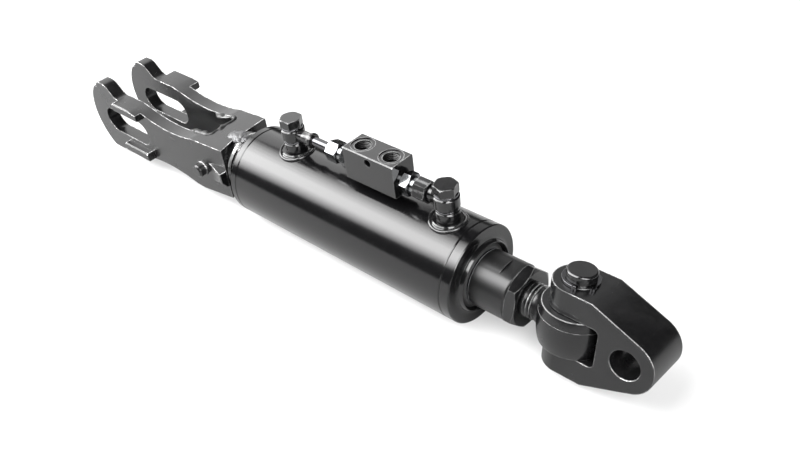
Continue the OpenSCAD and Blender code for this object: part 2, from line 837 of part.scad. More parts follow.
// The eye's body is a barrel on a vertical axis, with the ridge of its forging line
module rod_eye() {
  bulge = (eye_d - eye_end_d) / 2;
  half = eye_h / 2;
  bulge_r = (half * half + bulge * bulge) / (2 * bulge);
  bush_r = pin_r + 2.5;
  plain_x = nut_end_x + 6;
  threads = floor((plain_x - nut_end_x) / shank_pitch);
  ridge_z = half / 2;
  ridge_r = eye_d / 2 - bulge_r + sqrt(bulge_r * bulge_r - ridge_z * ridge_z) + 0.3;
  color(black_cast) rolled() difference() {
    union() {
      translate([pin_x, 0, 0]) intersection() {
        rotate_extrude() intersection() {
          translate([eye_d / 2 - bulge_r, 0]) circle(r = bulge_r, $fn = 180);
          translate([0, -half]) square([eye_d, eye_h]);
        }
        translate([0, 0, -half]) cylinder(r = eye_d / 2 + 1, h = eye_h);
      }
      translate([pin_x, 0, ridge_z - 0.35]) cylinder(r = ridge_r, h = 0.7);
      turned(concat(
        [[0, rod_end_x - 30], [shank_r - 2, rod_end_x - 30], [shank_r, rod_end_x - 28],
          [shank_r, nut_end_x + 0.6]],
        [for (i = [0 : threads - 1]) each [
          [shank_r - 1.4, nut_end_x + 0.6 + (i + 0.5) * shank_pitch],
          [shank_r, nut_end_x + 0.6 + (i + 1) * shank_pitch - 0.3],
          [shank_r, nut_end_x + 0.6 + (i + 1) * shank_pitch]
        ]],
        [[shank_r - 0.8, plain_x + 1.2], [shank_r - 0.8, pin_x - eye_d / 2 - 1],
          [shank_r + 1, pin_x - eye_d / 2 + 5], [0, pin_x - eye_d / 2 + 5]]
      ));
    }
    translate([pin_x, 0, -half - 1]) cylinder(r = bush_r, h = eye_h + 2);
  }
}

module eye_bush() {
  bush_r = pin_r + 2.5;
  color(steel) rolled() translate([pin_x, 0, -eye_h / 2 + 0.3]) difference() {
    cylinder(r = bush_r - press_gap, h = eye_h - 0.6);
    translate([0, 0, -1]) cylinder(r = pin_r + run_gap, h = eye_h + 2);
  }
}

// Clevis

slot_end = eye_d / 2 + 1;
slot_corner = 4;
mouth = 0.5;

// Side view of the clevis about the pin's axis, from its ears to its nose
module clevis_outline() {
  half = clevis_h / 2;
  run = pin_to_bore - clevis_flat;
  near_r = clevis_nose - 0.03;
  slope = atan2(half, run) - asin(near_r / norm([run, half]));
  tx = pin_to_bore + near_r * sin(slope);
  tz = near_r * cos(slope);
  difference() {
    polygon([
      [-clevis_w, half], [clevis_flat, half], [tx, tz], [pin_to_bore + clevis_nose, tz],
      [pin_to_bore + clevis_nose, -tz], [tx, -tz], [clevis_flat, -half], [-clevis_w, -half]
    ]);
    // The nose is cut to its radius beyond the tapers
    difference() {
      translate([tx, -half]) square([2 * clevis_nose, 2 * half]);
      translate([pin_to_bore, 0]) circle(r = clevis_nose);
    }
  }
}

module clevis() {
  color(black_cast) rolled() translate([pin_x, 0, 0]) difference() {
    intersection() {
      across(-clevis_w / 2, clevis_w / 2) clevis_outline();
      // The ears are round about the pin, seen from above
      translate([0, 0, -clevis_h]) linear_extrude(2 * clevis_h) union() {
        circle(d = clevis_w + 0.4);
        translate([0, -clevis_w]) square([2 * pin_to_bore, 2 * clevis_w]);
      }
    }
    // The slot for the eye, with rounded inner corners
    across(-clevis_w, clevis_w) union() {
      translate([-clevis_w, -slot_half]) square([clevis_w + slot_end - slot_corner, 2 * slot_half]);
      translate([0, -slot_half + slot_corner]) square([slot_end, 2 * (slot_half - slot_corner)]);
      for (s = [-1, 1]) translate([slot_end - slot_corner, s * (slot_half - slot_corner)])
        circle(r = slot_corner);
    }
    translate([0, 0, -clevis_h]) cylinder(r = pin_r + press_gap, h = 2 * clevis_h);
    translate([pin_to_bore, clevis_w, 0]) rotate([90, 0, 0]) cylinder(d = clevis_bore, h = 2 * clevis_w);
    // The mouth of the bore is broken on both sides
    for (s = [-1, 1]) translate([pin_to_bore, s * (clevis_w / 2 - mouth), 0]) rotate([-s * 90, 0, 0])
      cylinder(r1 = clevis_bore / 2, r2 = clevis_bore / 2 + 2 * mouth, h = 2 * mouth);
  }
}

ring_t = 2.4;
ring_groove = 1.2;
ring_z = clevis_h / 2 + 0.1;

module clevis_pin() {
  top = clevis_h / 2 + pin_above;
  low = -clevis_h / 2 - pin_below;
  groove_r = pin_r - ring_groove;
  color(black_cast) rolled() translate([pin_x, 0, 0]) rotate_extrude() polygon([
    [0, low], [pin_r - 1.2, low], [pin_r, low + 1.2], [pin_r, -ring_z - ring_t],
    [groove_r, -ring_z - ring_t], [groove_r, -ring_z], [pin_r, -ring_z], [pin_r, ring_z],
    [groove_r, ring_z], [groove_r, ring_z + ring_t], [pin_r, ring_z + ring_t], [pin_r, top - 1.2],
    [pin_r - 1.2, top], [0, top]
  ]);
}

// An open spring ring above the upper ear and one below the lower ear
module pin_retaining_rings() {
  gap_angle = -48;
  out_r = pin_r + 2.4;
  color(steel) rolled() for (z = [ring_z + 0.05, -ring_z - ring_t + 0.05]) translate([pin_x, 0, z])
    difference() {
      cylinder(r = out_r, h = ring_t - 0.1);
      translate([0, 0, -1]) cylinder(r = pin_r - ring_groove + 0.05, h = ring_t + 2);
      rotate([0, 0, gap_angle]) translate([0, -4.5, -1]) cube([2 * out_r, 9, ring_t + 2]);
    }
}

fork();
stop_peg();
fork_weld();
end_cap();
barrel_tube();
gland_head();
gland_o_ring();
rod_seal();
rod_wiper();
rod_guide_band();
rear_port_boss();
front_port_boss();
rear_spacer_collar();
front_spacer_collar();
rear_banjo();
front_banjo();
rear_banjo_bolt();
front_banjo_bolt();
banjo_washers();
transfer_pipe();
pipe_nut();
rear_check_adapter();
front_check_adapter();
front_union_nut();
valve_block();
pilot_spool();
rear_poppet();
front_poppet();
poppet_springs();
piston_seal();
piston_wear_bands();
rod();
piston();
piston_nut();
lock_nut();
rod_eye();
eye_bush();
clevis();
clevis_pin();
pin_retaining_rings();
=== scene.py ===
import json
import math

import bmesh
import bpy
from mathutils import Matrix, Vector, noise
from mathutils.bvhtree import BVHTree


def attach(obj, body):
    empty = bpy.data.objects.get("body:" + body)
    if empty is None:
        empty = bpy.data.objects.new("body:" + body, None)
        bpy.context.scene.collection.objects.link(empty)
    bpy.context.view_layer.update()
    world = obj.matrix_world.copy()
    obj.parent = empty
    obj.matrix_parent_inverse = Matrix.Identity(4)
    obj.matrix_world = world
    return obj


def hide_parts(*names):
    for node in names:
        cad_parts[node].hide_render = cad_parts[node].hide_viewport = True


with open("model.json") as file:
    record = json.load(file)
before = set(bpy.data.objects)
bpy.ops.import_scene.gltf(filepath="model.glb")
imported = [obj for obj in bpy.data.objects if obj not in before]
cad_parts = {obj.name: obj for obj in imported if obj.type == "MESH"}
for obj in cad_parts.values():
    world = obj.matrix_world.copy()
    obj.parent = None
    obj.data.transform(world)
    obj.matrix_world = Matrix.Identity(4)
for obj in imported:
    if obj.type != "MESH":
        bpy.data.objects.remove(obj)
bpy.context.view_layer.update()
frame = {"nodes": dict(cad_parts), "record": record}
nodes = frame["nodes"]
scene = bpy.context.scene
print("frame loaded:", len(nodes), "nodes")


# Camera

cameraSetup = {
    "place": (0.71892, -0.36327, 0.43117),
    "right": (0.744, 0.661, -0.100),
    "up": (-0.360, 0.521, 0.774),
    "lens": 38.52,
    "sensor": 36.0,
    "clip": 0.01,
}


def addCamera(setup):
    data = bpy.data.cameras.new("photoCamera")
    data.sensor_width = setup["sensor"]
    data.sensor_fit = "HORIZONTAL"
    data.lens = setup["lens"]
    data.clip_start = setup["clip"]
    camera = bpy.data.objects.new("photoCamera", data)
    scene.collection.objects.link(camera)
    right = Vector(setup["right"]).normalized()
    up = Vector(setup["up"])
    up = (up - right * up.dot(right)).normalized()
    back = right.cross(up)
    turn = Matrix((right, up, back)).transposed().to_4x4()
    camera.matrix_world = Matrix.Translation(setup["place"]) @ turn
    scene.camera = camera


addCamera(cameraSetup)
print("camera set")


# Floor and light

studio = {
    "floorDrop": -0.0402,
    "floorSize": 30.0,
    "floorMiddle": (0.25, 0.3),
    "floorRough": 0.9,
    "floorSpecular": 0.1,
    "aim": (0.27, 0.0, 0.0),
    "world": (0.07, 0.07, 0.07),
    "floorColor": 0.34,
    "glow": (0.42, 1.0),
    "glowReach": (0.8, 2.4),
    "key": {"side": -0.56, "lifts": (59, 64), "distance": 1.70, "step": 0.025, "length": 2.8,
            "widths": (0.55, 1.95), "layers": 5, "powerPerArea": 8.8},
    "back": {"direction": (-0.80, 0.42, 0.43), "distance": 2.0, "size": (1.6, 1.3), "power": 13.0},
    "rear": {"direction": (-0.21, 0.84, 0.485), "distance": 2.0, "size": (1.4, 1.1), "power": 2.8},
    "fill": {"direction": (0.75, -0.35, 0.56), "distance": 1.9, "size": (1.6, 1.0), "power": 60.0},
}


def addPanel(name, direction, distance, size, power):
    data = bpy.data.lights.new(name, "AREA")
    data.shape = "RECTANGLE"
    data.size, data.size_y = size
    data.energy = power
    lamp = bpy.data.objects.new(name, data)
    scene.collection.objects.link(lamp)
    away = Vector(direction).normalized()
    # The panel's long side follows the part's length, and its face looks at the part
    side = Vector((1, 0, 0)) - away * away.x
    side.normalize()
    lamp.matrix_world = Matrix.Translation(Vector(studio["aim"]) + away * distance) @ Matrix(
        (side, away.cross(side), away)).transposed().to_4x4()


def addSky():
    # White where the camera looks past the floor, dim for everything else
    world = bpy.data.worlds.new("studioWorld")
    scene.world = world
    world.use_nodes = True
    tree = world.node_tree
    seen = tree.nodes.new("ShaderNodeMix")
    seen.data_type = "RGBA"
    tree.links.new(tree.nodes.new("ShaderNodeLightPath").outputs["Is Camera Ray"], seen.inputs[0])
    seen.inputs[6].default_value = (*studio["world"], 1)
    seen.inputs[7].default_value = (1, 1, 1, 1)
    tree.links.new(seen.outputs[2], tree.nodes["Background"].inputs["Color"])


def addKeyLight():
    # Layers, each wider and farther away than the last, give the light its soft edges
    key = studio["key"]
    across = math.sqrt(1 - key["side"] ** 2)
    for i in range(key["layers"]):
        share = i / (key["layers"] - 1)
        width = key["widths"][0] + share * (key["widths"][1] - key["widths"][0])
        lift = math.radians(key["lifts"][0] + share * (key["lifts"][1] - key["lifts"][0]))
        direction = (key["side"], -across * math.cos(lift), across * math.sin(lift))
        addPanel("keyLayer" + str(i), direction, key["distance"] + i * key["step"],
                 (key["length"], width), key["powerPerArea"] * key["length"] * width)


def makeFloorPaper():
    material = bpy.data.materials.new("floorPaper")
    material.use_nodes = True
    tree = material.node_tree
    shader = tree.nodes["Principled BSDF"]
    shader.inputs["Base Color"].default_value = (*[studio["floorColor"]] * 3, 1)
    shader.inputs["Roughness"].default_value = studio["floorRough"]
    shader.inputs["Specular IOR Level"].default_value = studio["floorSpecular"]
    # Only the camera sees the paper glow: faint near the part, which leaves its soft shadow, and full
    # far away
    where = tree.nodes.new("ShaderNodeTexCoord")
    reach = tree.nodes.new("ShaderNodeVectorMath")
    reach.operation = "LENGTH"
    tree.links.new(where.outputs["Object"], reach.inputs[0])
    spread = tree.nodes.new("ShaderNodeMapRange")
    limits = ("From Min", "From Max", "To Min", "To Max")
    for title, value in zip(limits, studio["glowReach"] + studio["glow"]):
        spread.inputs[title].default_value = value
    tree.links.new(reach.outputs["Value"], spread.inputs["Value"])
    path = tree.nodes.new("ShaderNodeLightPath")
    glow = tree.nodes.new("ShaderNodeMath")
    glow.operation = "MULTIPLY"
    tree.links.new(path.outputs["Is Camera Ray"], glow.inputs[0])
    tree.links.new(spread.outputs["Result"], glow.inputs[1])
    tree.links.new(glow.outputs[0], shader.inputs["Emission Strength"])
    shader.inputs["Emission Color"].default_value = (1, 1, 1, 1)
    return material


def addFloor():
    bm = bmesh.new()
    bmesh.ops.create_grid(bm, x_segments=2, y_segments=2, size=studio["floorSize"] / 2)
    bmesh.ops.translate(bm, verts=bm.verts, vec=(*studio["floorMiddle"], studio["floorDrop"]))
    mesh = bpy.data.meshes.new("floor")
    bm.to_mesh(mesh)
    bm.free()
    floor = bpy.data.objects.new("floor", mesh)
    scene.collection.objects.link(floor)
    floor.data.materials.append(makeFloorPaper())


addSky()
addKeyLight()
for place in ("back", "rear", "fill"):
    panel = studio[place]
    addPanel(place + "Panel", panel["direction"], panel["distance"], panel["size"], panel["power"])
addFloor()
scene.view_settings.view_transform = "Standard"
scene.view_settings.look = "None"
print("studio set")


# Effects that several materials share

def newGroup(name, inputs, outputs):
    group = bpy.data.node_groups.new(name, "ShaderNodeTree")
    for title, kind, value in inputs:
        socket = group.interface.new_socket(name=title, in_out="INPUT", socket_type=kind)
        if value is not None:
            socket.default_value = value
    for title, kind in outputs:
        group.interface.new_socket(name=title, in_out="OUTPUT", socket_type=kind)
    return group, group.nodes.new("NodeGroupInput"), group.nodes.new("NodeGroupOutput")


def addNode(tree, kind, **settings):
    node = tree.nodes.new(kind)
    for key, value in settings.items():
        setattr(node, key, value)
    return node


# Detail and roughness of each kind of noise
noiseKinds = {"grit": (2.0, 0.6), "waves": (5.0, 0.6), "dust": (5.0, 0.7), "wear": (4.0, 0.65),
              "peel": (2.0, 0.5), "smudge": (4.0, 0.6), "fine": (3.0, 0.6)}


def addNoise(tree, vector, scale, kind):
    node = addNode(tree, "ShaderNodeTexNoise")
    for title, value in zip(("Detail", "Roughness"), noiseKinds[kind]):
        node.inputs[title].default_value = value
    if isinstance(scale, float):
        node.inputs["Scale"].default_value = scale
    else:
        tree.links.new(scale, node.inputs["Scale"])
    tree.links.new(vector, node.inputs["Vector"])
    return node.outputs["Fac"]


def addRange(tree, value, low, high, toLow=0.0, toHigh=1.0):
    node = addNode(tree, "ShaderNodeMapRange")
    node.inputs["From Min"].default_value = low
    node.inputs["From Max"].default_value = high
    node.inputs["To Min"].default_value = toLow
    node.inputs["To Max"].default_value = toHigh
    tree.links.new(value, node.inputs["Value"])
    return node.outputs["Result"]


def addMath(tree, operation, first, second):
    node = addNode(tree, "ShaderNodeMath", operation=operation)
    for socket, value in zip(node.inputs, (first, second)):
        if isinstance(value, (int, float)):
            socket.default_value = value
        else:
            tree.links.new(value, socket)
    return node.outputs[0]


def addMix(tree, mask, first, second):
    node = addNode(tree, "ShaderNodeMix", data_type="RGBA")
    if isinstance(mask, float):
        node.inputs[0].default_value = mask
    else:
        tree.links.new(mask, node.inputs[0])
    for socket, value in ((node.inputs[6], first), (node.inputs[7], second)):
        if isinstance(value, tuple):
            socket.default_value = (*value, 1) if len(value) == 3 else value
        else:
            tree.links.new(value, socket)
    return node.outputs[2]


# Edge mask: real rubbed edges, and painted edge highlights that are brightest on edges looking up
wearAndHighlightShape = {"samples": 8, "distance": 0.0012, "bent": (0.88, 0.66), "broken": (0.40, 0.57, 0.12, 1.0),
             "upward": (0.20, 0.50, 0.10, 1.0)}


def makeEdgeWearAndHighlight():
    # Rubbed outer edges as bright bare metal, which also paints highlight lines on them: most where they
    # look up, towards the lamps, broken up by noise
    group, given, out = newGroup(
        "edgeWearAndHighlight",
        [("Vector", "NodeSocketVector", None), ("Scale", "NodeSocketFloat", 60.0),
         ("Amount", "NodeSocketFloat", 0.5)],
        [("Mask", "NodeSocketFloat")])
    # The inside of a solid is close to open air only along its outer edges
    inside = addNode(group, "ShaderNodeAmbientOcclusion", samples=wearAndHighlightShape["samples"], inside=True,
                     only_local=True)
    inside.inputs["Distance"].default_value = wearAndHighlightShape["distance"]
    geometry = addNode(group, "ShaderNodeNewGeometry")
    bent = addRange(group, inside.outputs["AO"], *wearAndHighlightShape["bent"])
    specks = addNoise(group, given.outputs["Vector"], given.outputs["Scale"], "wear")
    broken = addRange(group, specks, *wearAndHighlightShape["broken"])
    split = addNode(group, "ShaderNodeSeparateXYZ")
    group.links.new(geometry.outputs["Normal"], split.inputs[0])
    # Painted highlight: edges that look up, towards the lamps, get the most bright metal
    upward = addRange(group, split.outputs["Z"], *wearAndHighlightShape["upward"])
    mask = addMath(group, "MULTIPLY", addMath(group, "MULTIPLY", bent, broken), upward)
    mask = addMath(group, "MULTIPLY", mask, given.outputs["Amount"])
    group.links.new(mask, out.inputs["Mask"])
    return group


grainShape = {"gritShare": 0.35, "patches": (0.35, 0.68)}


def makeCastGrain():
    # Sand-cast skin: fine grit on broad waves, and the patches that the waves make
    group, given, out = newGroup(
        "castGrain",
        [("Vector", "NodeSocketVector", None), ("Grit", "NodeSocketFloat", 900.0),
         ("Waves", "NodeSocketFloat", 55.0)],
        [("Height", "NodeSocketFloat"), ("Patches", "NodeSocketFloat")])
    grit = addNoise(group, given.outputs["Vector"], given.outputs["Grit"], "grit")
    waves = addNoise(group, given.outputs["Vector"], given.outputs["Waves"], "waves")
    total = addMath(group, "ADD", addMath(group, "MULTIPLY", grit, grainShape["gritShare"]), waves)
    group.links.new(total, out.inputs["Height"])
    group.links.new(addRange(group, waves, *grainShape["patches"]), out.inputs["Patches"])
    return group


dustShape = {"upward": (0.5, 1.0), "patches": (0.45, 0.75)}


def makeDust():
    # Pale dust that lies on faces that look up
    group, given, out = newGroup(
        "dust",
        [("Vector", "NodeSocketVector", None), ("Scale", "NodeSocketFloat", 40.0),
         ("Amount", "NodeSocketFloat", 0.3)],
        [("Mask", "NodeSocketFloat")])
    geometry = addNode(group, "ShaderNodeNewGeometry")
    split = addNode(group, "ShaderNodeSeparateXYZ")
    group.links.new(geometry.outputs["Normal"], split.inputs[0])
    upward = addRange(group, split.outputs["Z"], *dustShape["upward"])
    specks = addNoise(group, given.outputs["Vector"], given.outputs["Scale"], "dust")
    patches = addRange(group, specks, *dustShape["patches"])
    mask = addMath(group, "MULTIPLY", upward, patches)
    mask = addMath(group, "MULTIPLY", mask, given.outputs["Amount"])
    group.links.new(mask, out.inputs["Mask"])
    return group


edgeWearAndHighlight = makeEdgeWearAndHighlight()
castGrain = makeCastGrain()
dust = makeDust()
print("shared effects made")


# Materials

def startMaterial(name):
    material = bpy.data.materials.new(name)
    material.use_nodes = True
    tree = material.node_tree
    shader = tree.nodes["Principled BSDF"]
    where = addNode(tree, "ShaderNodeTexCoord").outputs["Object"]
    return material, tree, shader, where


def useGroup(tree, group, where, **values):
    node = addNode(tree, "ShaderNodeGroup", node_tree=group)
    tree.links.new(where, node.inputs["Vector"])
    for key, value in values.items():
        node.inputs[key].default_value = value
    return node


bumpDepth = {"cast": 0.0006, "smooth": 0.0002}
smudgeSpan = (0.3, 0.7)


def addBump(tree, shader, height, strength, distance):
    bump = addNode(tree, "ShaderNodeBump")
    bump.inputs["Strength"].default_value = strength
    bump.inputs["Distance"].default_value = distance
    tree.links.new(height, bump.inputs["Height"])
    tree.links.new(bump.outputs["Normal"], shader.inputs["Normal"])


def makeCastBlack(name, look):
    material, tree, shader, where = startMaterial(name)
    grain = useGroup(tree, castGrain, where, Grit=look["grit"], Waves=look["waves"])
    wear = useGroup(tree, edgeWearAndHighlight, where, Scale=look["wearAndHighlightScale"], Amount=look["wear"])
    dusty = useGroup(tree, dust, where, Scale=look["dustScale"], Amount=look["dust"])
    skin = addMix(tree, grain.outputs["Patches"], look["dark"], look["light"])
    skin = addMix(tree, dusty.outputs["Mask"], skin, look["dustColor"])
    # Bright bare metal on the edges: rubbed paint, and painted edge highlights
    skin = addMix(tree, wear.outputs["Mask"], skin, look["bare"])
    tree.links.new(skin, shader.inputs["Base Color"])
    rough = addRange(tree, grain.outputs["Patches"], 0.0, 1.0, *look["rough"])
    tree.links.new(rough, shader.inputs["Roughness"])
    tree.links.new(wear.outputs["Mask"], shader.inputs["Metallic"])
    shader.inputs["Specular IOR Level"].default_value = look["specular"]
    addBump(tree, shader, grain.outputs["Height"], look["bump"], bumpDepth["cast"])
    return material


def makeGlossBlack(name, look):
    material, tree, shader, where = startMaterial(name)
    wear = useGroup(tree, edgeWearAndHighlight, where, Scale=look["wearAndHighlightScale"], Amount=look["wear"])
    peel = addNoise(tree, where, look["peel"], "peel")
    smudge = addNoise(tree, where, look["smudge"], "smudge")
    skin = addMix(tree, smudge, look["dark"], look["light"])
    # Bright bare metal on the edges: rubbed paint, and painted edge highlights
    skin = addMix(tree, wear.outputs["Mask"], skin, look["bare"])
    tree.links.new(skin, shader.inputs["Base Color"])
    tree.links.new(addRange(tree, smudge, *smudgeSpan, *look["rough"]), shader.inputs["Roughness"])
    tree.links.new(wear.outputs["Mask"], shader.inputs["Metallic"])
    shader.inputs["Specular IOR Level"].default_value = look["specular"]
    addBump(tree, shader, peel, look["bump"], bumpDepth["smooth"])
    return material


def makePlated(name, look):
    material, tree, shader, where = startMaterial(name)
    wear = useGroup(tree, edgeWearAndHighlight, where, Scale=look["wearAndHighlightScale"], Amount=look["wear"])
    cloud = addNoise(tree, where, look["cloud"], "smudge")
    fine = addNoise(tree, where, look["fine"], "fine")
    skin = addMix(tree, cloud, look["dark"], look["light"])
    # Bright bare metal on the edges: rubbed plating, and painted edge highlights
    skin = addMix(tree, wear.outputs["Mask"], skin, look["bare"])
    tree.links.new(skin, shader.inputs["Base Color"])
    shader.inputs["Metallic"].default_value = look["metal"]
    tree.links.new(addRange(tree, fine, *smudgeSpan, *look["rough"]), shader.inputs["Roughness"])
    addBump(tree, shader, fine, look["bump"], bumpDepth["smooth"])
    return material


def makeRodFinish(name, look):
    # Black paint on the end that always shows, polished chrome on what slides through the seals
    material, tree, shader, where = startMaterial(name)
    split = addNode(tree, "ShaderNodeSeparateXYZ")
    tree.links.new(where, split.inputs[0])
    ragged = addNoise(tree, where, look["raggedScale"], "fine")
    along = addMath(tree, "ADD", split.outputs["X"], addMath(tree, "MULTIPLY", ragged, look["ragged"]))
    painted = addRange(tree, along, look["paintFrom"], look["paintFrom"] + look["paintFade"])
    wear = useGroup(tree, edgeWearAndHighlight, where, Scale=look["wearAndHighlightScale"], Amount=look["wear"])
    smudge = addNoise(tree, where, look["smudge"], "smudge")
    chrome = addMix(tree, smudge, look["chromeDark"], look["chromeLight"])
    paint = addMix(tree, smudge, look["dark"], look["light"])
    # Bright bare metal on the painted end's edges: rubbed paint, and painted edge highlights
    paint = addMix(tree, wear.outputs["Mask"], paint, look["bare"])
    tree.links.new(addMix(tree, painted, chrome, paint), shader.inputs["Base Color"])
    tree.links.new(addRange(tree, painted, 0.0, 1.0, 1.0, 0.0), shader.inputs["Metallic"])
    rough = addRange(tree, painted, 0.0, 1.0, look["chromeRough"], look["rough"])
    rough = addMath(tree, "ADD", rough, addMath(tree, "MULTIPLY", smudge, look["smudgeRough"]))
    tree.links.new(rough, shader.inputs["Roughness"])
    peel = addNoise(tree, where, look["peel"], "peel")
    addBump(tree, shader, peel, look["bump"], bumpDepth["smooth"])
    return material


# Each look's bright edge colour is both rubbed metal and a painted edge highlight
finishes = {
    "cast_black": makeCastBlack("castBlack", {
        "dark": (0.0025, 0.0025, 0.0027), "light": (0.005, 0.005, 0.0053), "bare": (0.90, 0.90, 0.90),
        "dustColor": (0.02, 0.02, 0.02), "grit": 950.0, "waves": 60.0,
        "wearAndHighlightScale": 130.0, "wear": 1.0, "dustScale": 70.0, "dust": 0.3,
        "rough": (0.22, 0.28), "specular": 0.5, "bump": 0.12}),
    "barrel_black": makeGlossBlack("barrelBlack", {
        "dark": (0.0018, 0.0018, 0.002), "light": (0.003, 0.003, 0.0032), "bare": (0.06, 0.06, 0.06),
        "smudge": 22.0, "peel": 420.0, "wearAndHighlightScale": 90.0, "wear": 0.3,
        "rough": (0.14, 0.18), "specular": 0.55, "bump": 0.03}),
    "fitting_black": makeCastBlack("fittingBlack", {
        "dark": (0.0022, 0.0022, 0.0024), "light": (0.004, 0.004, 0.0042), "bare": (0.34, 0.34, 0.34),
        "dustColor": (0.015, 0.015, 0.015), "grit": 1300.0, "waves": 110.0,
        "wearAndHighlightScale": 160.0, "wear": 0.9, "dustScale": 90.0, "dust": 0.2,
        "rough": (0.11, 0.16), "specular": 0.6, "bump": 0.05}),
    "rod_steel": makeRodFinish("rodFinish", {
        "paintFrom": 0.4246, "paintFade": 0.0006, "ragged": 0.0012, "raggedScale": 300.0,
        "dark": (0.002, 0.002, 0.0022), "light": (0.0035, 0.0035, 0.0037), "bare": (0.10, 0.10, 0.10),
        "chromeDark": (0.62, 0.63, 0.65), "chromeLight": (0.72, 0.73, 0.75), "chromeRough": 0.07,
        "rough": 0.34, "smudge": 30.0, "smudgeRough": 0.05, "peel": 700.0,
        "wearAndHighlightScale": 90.0, "wear": 0.6, "bump": 0.04}),
    "plain_steel": makePlated("plainSteel", {
        "dark": (0.07, 0.07, 0.075), "light": (0.14, 0.14, 0.145), "bare": (0.35, 0.35, 0.36),
        "cloud": 60.0, "fine": 500.0, "wearAndHighlightScale": 120.0, "wear": 0.4,
        "metal": 1.0, "rough": (0.12, 0.22), "bump": 0.05}),
    "zinc_plate": makePlated("zincPlate", {
        "dark": (0.14, 0.145, 0.15), "light": (0.22, 0.225, 0.23), "bare": (0.45, 0.45, 0.46),
        "cloud": 90.0, "fine": 650.0, "wearAndHighlightScale": 140.0, "wear": 0.5,
        "metal": 1.0, "rough": (0.12, 0.20), "bump": 0.06}),
    "seal_rubber": makeCastBlack("sealRubber", {
        "dark": (0.010, 0.010, 0.010), "light": (0.022, 0.022, 0.022), "bare": (0.03, 0.03, 0.03),
        "dustColor": (0.05, 0.05, 0.05), "grit": 1800.0, "waves": 140.0,
        "wearAndHighlightScale": 160.0, "wear": 0.1, "dustScale": 90.0, "dust": 0.1,
        "rough": (0.55, 0.7), "specular": 0.4, "bump": 0.05}),
    "guide_band": makeCastBlack("guideBand", {
        "dark": (0.24, 0.13, 0.05), "light": (0.34, 0.19, 0.08), "bare": (0.40, 0.25, 0.12),
        "dustColor": (0.3, 0.2, 0.1), "grit": 1500.0, "waves": 160.0,
        "wearAndHighlightScale": 160.0, "wear": 0.2, "dustScale": 90.0, "dust": 0.1,
        "rough": (0.45, 0.6), "specular": 0.4, "bump": 0.1}),
}
# Looks for single pieces, beside those of the slots
threadFinish = makeCastBlack("threadBlack", {
    "dark": (0.002, 0.002, 0.002), "light": (0.004, 0.004, 0.004), "bare": (0.02, 0.02, 0.02),
    "dustColor": (0.01, 0.01, 0.01), "grit": 1300.0, "waves": 110.0,
    "wearAndHighlightScale": 160.0, "wear": 0.0, "dustScale": 90.0, "dust": 0.0,
    "rough": (0.30, 0.38), "specular": 0.35, "bump": 0.04})
flashFinish = makeCastBlack("flashSkin", {
    "dark": (0.003, 0.003, 0.003), "light": (0.012, 0.012, 0.012), "bare": (0.5, 0.5, 0.5),
    "dustColor": (0.02, 0.02, 0.02), "grit": 700.0, "waves": 180.0,
    "wearAndHighlightScale": 160.0, "wear": 0.3, "dustScale": 70.0, "dust": 0.3,
    "rough": (0.28, 0.40), "specular": 0.5, "bump": 0.4})
weldFinish = makePlated("weldSkin", {
    "dark": (0.02, 0.02, 0.021), "light": (0.20, 0.20, 0.205), "bare": (0.3, 0.3, 0.3),
    "cloud": 240.0, "fine": 900.0, "wearAndHighlightScale": 140.0, "wear": 0.3,
    "metal": 0.6, "rough": (0.34, 0.5), "bump": 0.5})
slotOf = {entry["node"]: entry["material_slot"] for entry in frame["record"]["subparts"]}
for name, node in nodes.items():
    node.data.materials.clear()
    node.data.materials.append(finishes[slotOf[name]])
print("materials made:", len(finishes))


# Pieces that take the place of CAD nodes, with their edges rounded

bodyOf = {name: body for body, names in frame["record"]["behaviour"]["bodies"].items() for name in names}


def smoothByAngle(mesh, angle):
    for polygon in mesh.polygons:
        polygon.use_smooth = True
    mesh.set_sharp_from_angle(angle=math.radians(angle))


def addPiece(bm, name, body, slot, angle, replaced=(), finish=None):
    mesh = bpy.data.meshes.new(name)
    bm.to_mesh(mesh)
    bm.free()
    piece = bpy.data.objects.new(name, mesh)
    scene.collection.objects.link(piece)
    piece.data.materials.append(finish or finishes[slot])
    smoothByAngle(piece.data, angle)
    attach(piece, body)
    if replaced:
        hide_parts(*replaced)
    return piece


eyeShape = {"roll": -10.0, "pin": 0.500, "from": 0.4745, "inner": 0.020, "half": 0.0155,
            "full": 0.0265, "share": 0.55}


def flattenEye(bm):
    # The forged eye is flatter than the turned solid, so its outer skin moves out towards full width
    unroll = Matrix.Rotation(math.radians(-eyeShape["roll"]), 3, "X")
    for vert in bm.verts:
        spot = unroll @ vert.co
        reach = math.hypot(spot.x - eyeShape["pin"], spot.y)
        if spot.x > eyeShape["from"] and abs(spot.z) < eyeShape["half"] and (
                eyeShape["inner"] < reach < eyeShape["full"]):
            scale = 1 + eyeShape["share"] * (eyeShape["full"] - reach) / reach
            spot.x = eyeShape["pin"] + (spot.x - eyeShape["pin"]) * scale
            spot.y *= scale
            vert.co = unroll.transposed() @ spot


# Depth below the lip's tip and the radius wanted there
lipShape = {"wall": (0.0288, 0.0312), "profile": ((0.0040, 0.0330), (0.0030, 0.0295), (0.0006, 0.0284)),
            "near": 0.0001}


def slopeLip(bm):
    # The lip round the rod rises from a broad sloped foot, not from the flat face
    tip = max(v.co.x for v in bm.verts)
    low, high = lipShape["wall"]
    for vert in bm.verts:
        reach = math.hypot(vert.co.y, vert.co.z)
        for depth, wanted in lipShape["profile"]:
            if low < reach < high and abs(tip - vert.co.x - depth) < lipShape["near"]:
                vert.co.y *= wanted / reach
                vert.co.z *= wanted / reach


bevelShape = {"segments": 2, "corner": 28.0, "merge": 2e-6, "flat": 0.6, "smooth": 40.0, "weight": 80}


